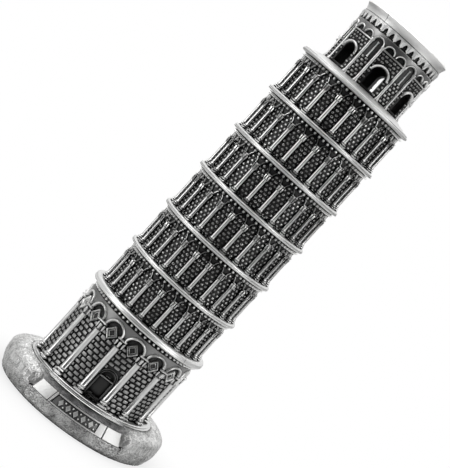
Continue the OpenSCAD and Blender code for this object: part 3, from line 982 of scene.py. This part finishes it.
def corbels():
    """Pointed niches with tapering teeth between them."""
    relief = Relief()
    f = belfry_floor
    low, high = f + 18.35, crown_foot
    r = belfry_r
    spacing = 2 * math.pi * (r + 0.4) / CORBELS
    samples = []
    niche = spacing * 0.26
    for k in range(CORBELS):
        base = k * 2 * math.pi * r / CORBELS
        half = niche * r / (r + 0.4)
        samples += [(base - half, low + 0.55), (base - half * 0.96, low + 1.2),
                    (base - half * 0.6, low + 1.95), (base, low + 2.45), (base + half * 0.6, low + 1.95),
                    (base + half * 0.96, low + 1.2), (base + half, low + 0.55)]
    points = []
    for along, bottom in samples:
        flare = 0.35 + 0.35 * (bottom - low) / (high - low)
        corners = ((-0.2, bottom), (flare, bottom), (0.78, high), (-0.2, high))
        points += [on_wall(along, out, h, r) for out, h in corners]
    relief.add(points, grid_faces(len(samples), 4, True, True))
    profile = [(0.18, low + 0.1), (0.3, low + 0.2), (0.42, low + 0.6), (0.5, low + 1.2), (0.62, low + 1.9),
               (0.8, low + 2.5)]
    tooth = post(profile, r + 0.32, segments=10, squash=0.8)
    relief.add_around([tooth], all_round(CORBELS, shift=0.5))
    relief.make("corbel_teeth", lit_crown_silver, ("corbel_frieze",))


def crown():
    relief = Relief()
    low, top, r = crown_foot, crown_foot + 3.8, crown_r
    inner = 14.5
    section = [
        (inner, low), (r - 0.85, low), (r - 1.1, low + 0.1), (r - 1.1, low + 0.26), (r - 0.85, low + 0.4),
        (r - 0.75, low + 1.2), (r - 0.5, low + 2.0), (r - 0.22, low + 2.6), (r, low + 2.95),
        (r - 0.12, low + 3.2), (r - 0.45, top - 0.3), (r - 0.95, top - 0.08), (r - 1.6, top),
        (inner + 0.6, top), (inner + 0.1, top - 0.3), (inner, top - 0.8),
    ]
    seam(section[1:12], CROWN_SEAM, "crown_seam")
    relief.add(*lathe(section, 240))
    relief.make("crown_band", lit_crown_silver, ("crown_rim",))


def finish_cad_nodes():
    """Gives the CAD nodes that stay in view their metal."""
    finishes = {name: wall_black for name in ("ground_wall", "belfry_wall", "roof_disc")}
    finishes.update({f"gallery_wall_{n}": wall_black for n in range(1, 7)})
    finishes.update({"felt_pad": felt, "weight_core": filling})
    for name, finish in finishes.items():
        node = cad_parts[name]
        node.data.materials.clear()
        node.data.materials.append(finish)


# ---------------------------------------------------------------- studio


def seen_by_camera(nodes, links, output, unseen, seen):
    """Gives the camera one shader and every other ray another."""
    path = nodes.new("ShaderNodeLightPath")
    choose = nodes.new("ShaderNodeMixShader")
    links.new(path.outputs["Is Camera Ray"], choose.inputs["Fac"])
    links.new(unseen.outputs[0], choose.inputs[1])
    links.new(seen.outputs[0], choose.inputs[2])
    links.new(choose.outputs[0], nodes[output].inputs["Surface"])


def camera():
    """Long lens from the left of the front, rolled so that the tower leans across the frame."""
    azimuth, elevation, roll = math.radians(-6.9), math.radians(5.94), math.radians(36.82)
    aim, distance = Vector((0.00566, 0.0, 0.08399)), 0.5558
    level = math.cos(elevation)
    back = Vector((math.sin(azimuth) * level, -math.cos(azimuth) * level, math.sin(elevation)))
    data = bpy.data.cameras.new("camera")
    data.sensor_width = 36
    data.lens = 120.46
    data.clip_start, data.clip_end = 0.01, 50
    piece = placed("camera", data)
    piece.rotation_mode = "QUATERNION"
    unrolled = (-back).to_track_quat("-Z", "Y")
    piece.rotation_quaternion = unrolled @ Matrix.Rotation(roll, 3, "Z").to_quaternion()
    piece.location = aim + back * distance
    bpy.context.scene.camera = piece


def softbox(name, azimuth, height, distance, width, tall, glow, aim_z=0.09):
    """Rectangular light that glows evenly; glow is its brightness as seen."""
    data = bpy.data.lights.new(name, "AREA")
    data.shape = "RECTANGLE"
    data.size, data.size_y = width, tall
    data.energy = glow * math.pi * width * tall
    piece = placed(name, data)
    a = math.radians(azimuth)
    piece.location = (math.sin(a) * distance, -math.cos(a) * distance, height)
    piece.rotation_mode = "QUATERNION"
    piece.rotation_quaternion = (Vector((0, 0, aim_z)) - piece.location).to_track_quat("-Z", "Y")
    piece.visible_camera = False


def studio():
    scene = bpy.context.scene
    scene.view_settings.view_transform = "Standard"
    softbox("left_strip", -68, 0.35, 1.3, 0.55, 1.7, 3.6)
    softbox("right_strip", 54, 0.35, 1.3, 0.55, 1.7, 3.6)
    softbox("top_light", 173, 1.7, 0.25, 1.7, 1.9, 2.2)

    world = bpy.data.worlds.new("studio")
    world.use_nodes = True
    scene.world = world
    nodes, links = world.node_tree.nodes, world.node_tree.links
    seen = nodes["Background"]
    seen.inputs["Color"].default_value = (1, 1, 1, 1)
    place = nodes.new("ShaderNodeTexCoord")
    split = nodes.new("ShaderNodeSeparateXYZ")
    links.new(place.outputs["Generated"], split.inputs[0])
    fade = add_range(nodes, -0.25, 0.55, 0.03, 1.05, "SMOOTHSTEP")
    links.new(split.outputs["Y"], fade.inputs["Value"])
    room = nodes.new("ShaderNodeBackground")
    links.new(fade.outputs["Result"], room.inputs["Strength"])
    seen_by_camera(nodes, links, "World Output", room, seen)
    pale_floor()


def pale_floor():
    """White to the camera with a faint contact shadow; to the metal, a pale table in a darker room."""
    mesh = bpy.data.meshes.new("floor")
    size, sides, depth = 4.0, 64, -0.00002
    turns = [2 * math.pi * i / sides for i in range(sides)]
    points = [(size * math.cos(turn), size * math.sin(turn), depth) for turn in turns]
    mesh.from_pydata(points, [], [tuple(range(sides))])
    floor = placed("floor", mesh)
    material, nodes, links, surface = shader("pale_floor")
    surface.inputs["Roughness"].default_value = 0.9
    surface.inputs["Specular IOR Level"].default_value = 0.0
    place = nodes.new("ShaderNodeTexCoord")
    reach = nodes.new("ShaderNodeVectorMath")
    reach.operation = "LENGTH"
    links.new(place.outputs["Object"], reach.inputs[0])
    table = add_range(nodes, 0.25, 0.6, 0.6, 0.02, "SMOOTHSTEP")
    links.new(reach.outputs["Value"], table.inputs["Value"])
    links.new(table.outputs["Result"], surface.inputs["Base Color"])
    glow = nodes.new("ShaderNodeEmission")
    near = nodes.new("ShaderNodeAmbientOcclusion")
    near.samples = 16
    near.inputs["Distance"].default_value = 0.02
    shade = add_range(nodes, 0.3, 1.0, 0.8, 1.0)
    links.new(near.outputs["AO"], shade.inputs["Value"])
    links.new(shade.outputs["Result"], glow.inputs["Strength"])
    seen_by_camera(nodes, links, "Material Output", surface, glow)
    mesh.materials.append(material)


camera()
studio()
finish_cad_nodes()
rocky_plinth()
ribbon_banner()
foot_ring_piece()
ground_bricks()
ground_columns()
ground_arches()
ground_lozenges()
ground_frieze()
door()
cornices()
gallery_storeys()
terrace_piece()
belfry_bricks()
belfry_windows()
belfry_shafts()
belfry_arcade()
corbels()
crown()
